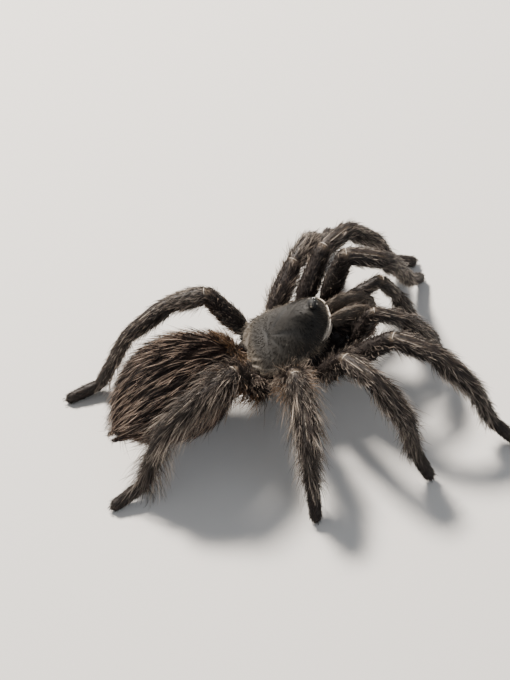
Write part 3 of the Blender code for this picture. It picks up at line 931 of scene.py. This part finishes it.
def limbCoat(limb, side, order):
    surface = limbSurfaces[limb + "_" + side]
    bone, part = surface["bone"][:, None], surface["part"][:, None]
    up = np.sin(surface["turn"])[None, :]
    flat = np.abs(np.cos(surface["turn"]))[None, :]
    if limb == "palp":  # which has no metatarsus
        bone = np.where(bone == 4, 5, bone)
    trim = 1.0 if side == "r" else legCoat["left"][limb]
    short = math.sqrt(trim)
    growth, reach = legCoat["growth"][limb], legCoat["reach"][limb] * trim
    shaggy = 1.0 if limb in ("leg3", "leg4") else 0.0
    under = smoothStep(0.3, -0.8, up)
    tall = smoothStep(-0.3, 0.8, up)
    width, tuft, seed = legCoat["width"], legCoat["tuft"], 100 + order * 10

    def byBone(*values):  # coxa, femur, patella, tibia, metatarsus, tarsus
        return np.array(values, float)[bone]

    goldBelow = shaggy * (bone == 1) * under  # the shaggy legs' femurs are golden below, their knees paler on top: a painted highlight
    kneeHighlight = 0.7 * shaggy * (bone == 2) * tall  # their knees pale on top
    dark = mixed(tone["legDark"], tone["legBrown"], 0.3)
    share = byBone(0.0, 0.2, 0.35 + 0.25 * shaggy, 0.28, 0.2, 0.15) * (0.3 + 0.7 * tall)
    lit = mixed(tone["legBrown"], tone["legTan"], share)
    lit = mixed(mixed(lit, tone["legGold"], 0.15 * goldBelow), tone["legPale"], kneeHighlight)
    over = mixed(mixed(dark, tone["legGold"], 0.25 * goldBelow), tone["legTan"], kneeHighlight)
    tan = mixed(tone["legBrown"], tone["legPale"], byBone(0.12, 0.25, 0.6, 0.6, 0.55, 0.1))
    fringeBase = mixed(mixed(tone["legDark"], tone["legBrown"], 0.6), tone["legGold"], 0.35 * goldBelow)
    gold = byBone(0.3, 0.8, 0.3, 0, 0, 0) * (0.25 + 0.75 * under) * (0.35 + 0.65 * shaggy)
    pale = mixed(mixed(tone["legTan"], tone["legPale"], 0.65), tone["legGold"], gold)
    fringe = byBone(0.5, 0.7 + 1.3 * shaggy, 1.1 + 0.9 * shaggy, 1.6, 1.3, 0.06)
    around = np.where(bone == 4, 0.6, 0.2) + np.where(bone == 4, 0.5, 0.9) * flat + 0.7 * under
    fringeLength = byBone(0.6, 0.85, 0.75 + 0.35 * shaggy, 1.0, 0.85 + 0.25 * (limb == "leg4"), 0.35)
    fringeRise = byBone(45, 50, 34, 38, 46, 35) + 22 * shaggy * (bone == 2) * smoothStep(0.7, 0.1, part)
    velvetLength = legCoat["velvetLength"] * byBone(1, 1, 0.9 + 0.6 * shaggy, 1.05, 1.0, 0.8)
    bristleLength = legCoat["bristleLength"] * short
    darkShare = byBone(0.5, 0.6, 1.0, 1.4, 1.4, 1.2) * (0.75 + 0.5 * flat)
    tanShare = byBone(0.4, 0.35, 1.0 + 0.8 * shaggy, 1.5, 1.4, 0.3) * (0.5 + 0.6 * flat + 0.5 * under)
    tanLength = bristleLength * byBone(0.8, 0.9, 1.0, 1.15, 1.05, 0.5) * (0.85 + 0.3 * flat)
    groups = [
        growOn(surface, legCoat["velvet"] * growth, byBone(1.0, 1.4, 1.0, 1.0, 1.0, 2.2), seed,
               velvetLength, width * 1.1, rise=byBone(20, 24, 15 + 8 * shaggy, 18, 20, 34), bend=0.5,
               base=dark * 0.8, tip=lit, rings=2, tuft=tuft, pull=0.3, crest=0.6 - 0.5 * shaggy),
        growOn(surface, legCoat["bristles"] * growth * 0.45, darkShare, seed + 1,
               bristleLength * byBone(0.8, 0.75, 0.85, 1.1, 1.0, 0.55), width * 1.1,
               rise=byBone(28, 22, 20, 24, 26, 26) * short, bend=0.55, base=tone["legDark"], tip=over,
               tuft=tuft, droop=0.1),
        growOn(surface, legCoat["bristles"] * growth * 0.55, tanShare, seed + 2, tanLength, width,
               rise=byBone(30, 28, 24 + 14 * shaggy, 28, 30, 30) * short, bend=0.6, base=dark, tip=tan,
               tuft=tuft * 1.2, pull=0.8, droop=0.15, crest=0.9, line=0.22),
        growOn(surface, legCoat["long"] * legCoat["fringe"][limb], fringe * around, seed + 3,
               legCoat["longLength"] * reach * fringeLength, width, rise=fringeRise * short, bend=0.7,
               base=fringeBase, tip=pale, rings=5, spread=0.25, tuft=tuft * 1.5, stretch=2.5, pull=0.8,
               wave=0.14, droop=0.35 + 0.2 * shaggy, crest=0.8, line=0.26),
        growOn(surface, legCoat["pad"] * (0.9 if limb == "palp" else 1.0),
               byBone(0, 0, 0, 0, 0.6, 2.0) * under + 1e-6, seed + 4, legCoat["padLength"], width * 1.15,
               rise=48, bend=0.2, base=tone["pad"], tip=tone["legDark"], rings=2),
    ]
    return coatPiece(f"coat_{limb}_{side}", groups)


abdomenCoat = {
    "under": 6600,
    "dark": 5500,
    "light": 4700,
    "stray": 420,
    "front": 700,
    "rump": 700,
    "spinneret": 240,
    "underLength": 2.2,
    "longLength": 6.6,
    "strayLength": 6.6,
    "frontLength": 3.8,
    "rumpLength": 4.4,
    "spinneretLength": 1.3,
    "width": 0.13,
    "tuft": 0.95,
    "stretch": 4.2,
}


def abdomenCoats():
    surface = abdomenForm
    t, turn = surface["t"][:, None], surface["turn"][None, :]
    up = np.sin(turn)
    front = smoothStep(0.13, 0.02, t) * smoothStep(-0.7, 0.2, up)
    back = smoothStep(0.0, 0.25, t)
    flank = 0.6 + 0.4 * smoothStep(-0.8, 0.0, up)
    tail = smoothStep(0.86, 0.98, t)
    lengthMap = (0.66 + 0.34 * back) * np.maximum(flank, tail)
    rise = 12 + 18 * smoothStep(0.16, 0.02, t) + 6 * tail
    width, tuft, stretch = abdomenCoat["width"], abdomenCoat["tuft"], abdomenCoat["stretch"]
    black = tone["abdomenDark"]
    dark = mixed(black, tone["abdomenBrown"], 0.35)
    rust = mixed(dark, tone["abdomenRust"], np.clip(0.3 - 0.3 * up, 0, 1) + 0.25 * smoothStep(0.3, 0.08, t))
    rust = mixed(rust, tone["waistOrange"], 0.35 * front)
    # pale tips lighter on top and brightened by a third: pale hair of its own, with a painted highlight;
    # more pale hairs grow on top where it falls
    tan = mixed(tone["abdomenRust"], tone["abdomenTan"], np.clip(0.65 + 0.55 * up, 0.4, 1)) * 1.35
    tan = mixed(tan, tone["waistOrange"], 0.35 * front)
    lightBase = mixed(black, tone["abdomenBrown"], 0.25)
    underLength = abdomenCoat["underLength"] * lengthMap
    under = growOn(surface, abdomenCoat["under"], 1.0, 11, underLength, width, rise=rise + 4, bend=0.5,
                   base=black, tip=dark, rings=2, tuft=tuft, pull=0.4, vary=0.15)
    long = {"rings": 5, "spread": 0.07, "tuft": tuft, "stretch": stretch, "wave": 0.14}
    longLength = abdomenCoat["longLength"] * lengthMap
    darkLong = growOn(surface, abdomenCoat["dark"], 1.0, 12, longLength * 0.8, width, rise=rise, bend=0.6,
                      base=black, tip=rust, pull=0.5, crest=0.5, vary=0.15, **long)
    lightLong = growOn(surface, abdomenCoat["light"], 0.45 + 0.55 * smoothStep(-0.5, 0.3, up), 13,
                       longLength, width * 1.1, rise=rise + 4, bend=0.6, base=lightBase, tip=tan,
                       pull=0.95, crest=1.0, line=0.08, early=0.6, vary=0.08, **long)
    stray = growOn(surface, abdomenCoat["stray"], smoothStep(0.1, 0.4, t) + 0.2, 14,
                   abdomenCoat["strayLength"] * (0.7 + 0.3 * back) * flank, width * 0.8, rise=26, bend=0.8,
                   base=tone["abdomenBrown"], tip=tone["abdomenTan"], rings=5, wave=0.2, droop=0.1)
    atFront = smoothStep(0.1, 0.03, t) * smoothStep(-0.75, 0.1, up) + 1e-6
    fringe = growOn(surface, abdomenCoat["front"], atFront, 15, abdomenCoat["frontLength"], width, rise=34,
                    bend=0.7, base=black, tip=tone["waistOrange"], rings=4, spread=0.3, tuft=0.8, pull=0.7,
                    wave=0.2, crest=0.9)
    covers = [growOn(form, abdomenCoat["spinneret"], 1.0, 81 + k, abdomenCoat["spinneretLength"], 0.12,
                     rise=18, bend=0.4, base=black, tip=tone["abdomenBrown"], rings=2,
                     uvBox=(0, 0, 0.02, 0.02)) for k, form in enumerate(spinneretTubes)]
    atRump = smoothStep(0.7, 0.85, t) * smoothStep(0.4, -0.3, up) + 1e-6
    rump = growOn(surface, abdomenCoat["rump"], atRump, 16, abdomenCoat["rumpLength"], width, rise=36,
                  bend=0.5, base=black, tip=mixed(tone["abdomenBrown"], tone["abdomenRust"], 0.5), rings=4,
                  spread=0.25, tuft=1.0, pull=0.7, wave=0.1, crest=0.7)
    return [coatPiece("coat_abdomen_under", [under, rump] + covers),
            coatPiece("coat_abdomen_dark", [darkLong, stray, fringe]),
            coatPiece("coat_abdomen_light", [lightLong])]


carapaceCoat = {"velvet": 6600, "fringe": 1000, "fringeLength": 2.0, "width": 0.12}


def carapaceCoats():
    surface = carapaceForm["velvet"]
    rho = surface["rho"]
    atEdge = smoothStep(0.86, 1.0, rho) * smoothStep(9.8, 7.5, surface["forward"]) + 1e-6
    # tan tips towards the margins: the margin's own tan hair, brightened as a painted sunlit highlight;
    # over the rear folds the tan is painted light
    tipTone = mixed(surface["marking"], tone["shellTan"], 0.02 + 0.5 * smoothStep(0.64, 0.96, rho))
    tipTone = mixed(tipTone, tone["shellTan"], 0.25 * surface["rear"])
    width = carapaceCoat["width"]
    groups = [
        growOn(surface, carapaceCoat["velvet"], 1.0, 51, 0.75 + 0.45 * rho, width, rise=11, bend=0.3,
               base=surface["marking"] * 0.6, tip=tipTone, rings=2, spread=0.12, tuft=0.6, stretch=3.0,
               pull=0.1),
        growOn(surface, carapaceCoat["fringe"], atEdge, 52, carapaceCoat["fringeLength"], width, rise=16,
               bend=0.4, base=tone["shellDark"], tip=tone["shellTan"], spread=0.3, tuft=0.9, droop=0.2,
               crest=0.7),
    ]
    return coatPiece("coat_carapace", groups)


jawCoat = {
    "short": 2700,
    "long": 900,
    "beard": 1500,
    "shortLength": 1.3,
    "longLength": 2.8,
    "beardLength": 3.2,
    "width": 0.12,
}


def jawCoats():
    groups = []
    for order, side in enumerate("rl"):
        surface = jawForms[side]
        up = np.sin(surface["turn"])[None, :]
        t = surface["t"][:, None]
        box = (0, order * 0.5, 1, order * 0.5 + 0.5)
        base = mixed(tone["legDark"], tone["jawBrown"], 0.3)
        lit = mixed(tone["jawBrown"], tone["legTan"], 0.6 * smoothStep(-0.3, 1, up))
        low = smoothStep(0.5, -0.6, up) + 0.15
        # long hair tips lighter on top: painted light
        longTip = mixed(tone["legBrown"], tone["legTan"], 0.5 + 0.5 * smoothStep(-0.5, 0.5, up))
        outer = smoothStep(0.1, 0.6, np.cos(surface["turn"]) * (1 if side == "r" else -1))[None, :]
        flank = smoothStep(0.35, -0.2, up) * (0.3 + outer) * smoothStep(1.0, 0.8, t) + 1e-6
        rust = mixed(tone["legBrown"], tone["beard"], smoothStep(0.3, 0.9, t))
        width = jawCoat["width"]
        groups += [
            growOn(surface, jawCoat["short"] / 2, 1.0, 61 + order, jawCoat["shortLength"], width, rise=12,
                   bend=0.4, base=base, tip=lit, rings=2, spread=0.1, tuft=0.6, stretch=3.0, pull=0.5,
                   crest=0.7, uvBox=box),
            growOn(surface, jawCoat["long"] / 2, low, 65 + order, jawCoat["longLength"], width, rise=34,
                   bend=0.5, base=tone["legDark"], tip=longTip, rings=4, tuft=0.8, pull=0.5, droop=0.3,
                   uvBox=box),
            growOn(surface, jawCoat["beard"] / 2, flank, 68 + order, jawCoat["beardLength"], width * 1.1,
                   rise=52, bend=0.6, base=tone["legDark"], tip=rust, rings=4, tuft=0.8, pull=0.4,
                   droop=0.2, uvBox=box),
        ]
    return coatPiece("coat_jaws", groups)


trunkCoat = {  # count and length of hair
    "sternum": (700, 1.3),
    "flank": (1700, 2.3),
    "waist": (600, 2.4),
    "mound": (220, 0.45),
    "jawRoot": (400, 1.4),
}


def trunkCoats():
    groups = []
    forms = (sternumForm, flankForm, waistForm, moundForm, jawRootForm)
    tip = mixed(tone["legDark"], tone["legBrown"], 0.5)
    for order, (surface, (count, length)) in enumerate(zip(forms, trunkCoat.values())):
        box = (0, order / len(forms), 1, (order + 1) / len(forms))
        groups.append(growOn(surface, count, 1.0, 71 + order, length, 0.12, rise=22, bend=0.4,
                             base=tone["legDark"], tip=tip, tuft=0.8, pull=0.4, uvBox=box))
    return coatPiece("coat_trunk", groups)


coats = [limbCoat(limb, side, order) for order, (limb, side) in enumerate(limbNames)]
coats += abdomenCoats() + [carapaceCoats(), jawCoats(), trunkCoats()]
print("coat triangles in all:", grown["triangles"])


# materials


def addNode(tree, kind, settings=None, links=None, **sockets):
    node = tree.nodes.new(kind)
    for key, value in (settings or {}).items():
        setattr(node, key, value)
    for key, value in sockets.items():
        node.inputs[key.replace("_", " ")].default_value = value
    for key, source in (links or {}).items():
        tree.links.new(source, node.inputs[key])
    return node


def newMaterial(name):
    made = bpy.data.materials.new(name)
    made.use_nodes = True
    tree = made.node_tree
    tree.nodes.clear()
    shader = addNode(tree, "ShaderNodeBsdfPrincipled")
    addNode(tree, "ShaderNodeOutputMaterial", links={"Surface": shader.outputs[0]})
    return made, tree, shader


def noiseLevel(tree, scale, detail, **levels):  # the noise, and its value spread between the levels
    place = addNode(tree, "ShaderNodeTexCoord")
    noise = addNode(tree, "ShaderNodeTexNoise", links={"Vector": place.outputs["Object"]},
                    Scale=scale, Detail=detail).outputs["Fac"]
    return noise, addNode(tree, "ShaderNodeMapRange", links={"Value": noise}, **levels).outputs[0]


def markedMaterial(name, rough, specular, grain, bump, sheen=0.0):
    # colour comes from the markings attribute, broken up by noise; grain is the noise size in millimetres
    made, tree, shader = newMaterial(name)
    marks = addNode(tree, "ShaderNodeAttribute", {"attribute_name": "marking"})
    noise, level = noiseLevel(tree, 1 / (grain * mm), 3.0, From_Min=0.3, From_Max=0.7, To_Min=0.75,
                              To_Max=1.25)
    tinted = addNode(tree, "ShaderNodeMix", {"data_type": "RGBA", "blend_type": "MULTIPLY"})
    tinted.inputs[0].default_value = 1.0
    tree.links.new(marks.outputs["Color"], tinted.inputs[6])
    tree.links.new(level, tinted.inputs[7])
    tree.links.new(tinted.outputs[2], shader.inputs["Base Color"])
    shader.inputs["Roughness"].default_value = rough
    shader.inputs["Specular IOR Level"].default_value = specular
    shader.inputs["Sheen Weight"].default_value = sheen
    if bump:
        raised = addNode(tree, "ShaderNodeBump", links={"Height": noise}, Strength=0.6, Distance=bump * mm)
        tree.links.new(raised.outputs[0], shader.inputs["Normal"])
    return made


def glossMaterial(name, colour, rough, coat):  # fine unevenness about a millimetre across in the polish
    made, tree, shader = newMaterial(name)
    level = noiseLevel(tree, 900.0, 2.0, To_Min=rough * 0.7, To_Max=rough * 1.4)[1]
    tree.links.new(level, shader.inputs["Roughness"])
    shader.inputs["Base Color"].default_value = (*linear(colour), 1)
    shader.inputs["Coat Weight"].default_value = coat
    return made


# living cuticle, dull between the hairs
softCuticle = markedMaterial("softCuticle", 0.6, 0.35, 0.35, 0.08)
# chitin hair: silky, so each spike takes a narrow highlight
chitinHair = markedMaterial("chitinHair", 0.48, 0.28, 2.5, 0.0)
# bare untanned cuticle at the joints' edges, its pale colour partly a painted glint
paleCuticleAndGlints = markedMaterial("paleCuticleAndGlints", 0.4, 0.5, 0.4, 0.03)
# hard cuticle under velvet, which scatters light at grazing angles
velvetCuticle = markedMaterial("velvetCuticle", 0.62, 0.3, 0.22, 0.06, 0.05)
# cornea over black pigment
corneaBlack = glossMaterial("corneaBlack", "#0b0908", 0.08, 1.0)
# cornea over a silvery reflecting layer
corneaPearl = glossMaterial("corneaPearl", "#5b554c", 0.14, 0.8)
# tanned chitin, polished by use
fangChitin = glossMaterial("fangChitin", "#140c09", 0.16, 0.4)


def dress(piece, material, nodes=()):
    piece.data.materials.append(material)
    if nodes:
        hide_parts(*nodes)
    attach(piece, "root")


fleshNodes = [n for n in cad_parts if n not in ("carapace", "eye_mound", "fang_r", "fang_l")]
dress(skin, softCuticle, fleshNodes)
dress(shell, velvetCuticle, ["carapace"])
dress(rims, paleCuticleAndGlints)
dress(mound, velvetCuticle, ["eye_mound"])
dress(darkEyes, corneaBlack)
dress(pearlyEyes, corneaPearl)
dress(fangPiece, fangChitin, ["fang_r", "fang_l"])
dress(clawPiece, fangChitin)
for piece in coats:
    dress(piece, chitinHair)


# floor, light and camera

studio = {
    "floor": "#d9d6d1",
    "floorHalf": 1.6,  # half the floor's width in metres
    "floorRough": 0.85,
    "sky": "#e9edf2",
    "skyStrength": 0.42,
    # metres to the view's right, away and up from the animal, then width, power and colour
    "key": ((-0.3, 0.7, 0.85), 0.2, 46, "#fff7ee"),
    "fill": ((0.5, -0.7, 0.7), 0.9, 2.5, "#e8f0ff"),
}


view = {
    "elevation": 49.8,
    "heading": 5.2,  # the animal faces this far away from the view's right
    "roll": -8.7,
    "distance": 423.0,  # from the floor under the front body
    "aside": -9.2,  # the camera's move along its own right and up
    "raised": 9.7,
    "lens": 90.9,
}


def turned(way):  # from the view's right, away and up to the shared frame
    right, away, up = way
    c, s = math.cos(math.radians(view["heading"])), math.sin(math.radians(view["heading"]))
    return np.array([away * c - right * s, -(right * c + away * s), up])


def makeStudio():
    half = studio["floorHalf"]
    mesh = bpy.data.meshes.new("floor")
    corners = [(-half, -half, 0), (half, -half, 0), (half, half, 0), (-half, half, 0)]
    mesh.from_pydata(corners, [], [(0, 1, 2, 3)])
    floor = newObject("floor", mesh)
    paint, _, shader = newMaterial("paleFloor")
    shader.inputs["Base Color"].default_value = (*linear(studio["floor"]), 1)
    shader.inputs["Roughness"].default_value = studio["floorRough"]
    mesh.materials.append(paint)
    world = bpy.data.worlds.new("sky")
    bpy.context.scene.world = world
    world.use_nodes = True
    back = world.node_tree.nodes["Background"]
    back.inputs[0].default_value = (*linear(studio["sky"]), 1)
    back.inputs[1].default_value = studio["skyStrength"]


def areaLight(name):
    place, size, power, colour = studio[name]
    place = turned(place)
    lamp = bpy.data.lights.new(name, "AREA")
    lamp.energy = power
    lamp.size = size
    lamp.color = tuple(linear(colour))
    holder = newObject(name, lamp)
    holder.location = place
    holder.rotation_mode = "QUATERNION"
    holder.rotation_quaternion = Vector(-place).to_track_quat("-Z", "Y")


def makeCamera():
    e, r = math.radians(view["elevation"]), math.radians(view["roll"])
    level, steep = np.array([1.0, 0, 0]), np.array([0, math.sin(e), math.cos(e)])
    right = turned(math.cos(r) * level + math.sin(r) * steep)
    up = turned(math.cos(r) * steep - math.sin(r) * level)
    back = turned((0, -math.cos(e), math.sin(e)))
    eye = frameShift + (back * view["distance"] + right * view["aside"] + up * view["raised"]) * mm
    lens = bpy.data.cameras.new("camera")
    lens.sensor_width = 36
    lens.lens = view["lens"]
    lens.clip_start = 0.01
    camera = newObject("camera", lens)
    rows = np.eye(4)
    rows[:3, 0], rows[:3, 1], rows[:3, 2], rows[:3, 3] = right, up, back, eye
    camera.matrix_world = Matrix(rows.tolist())
    bpy.context.scene.camera = camera


makeStudio()
makeCamera()
areaLight("key")
areaLight("fill")
print("studio ready")
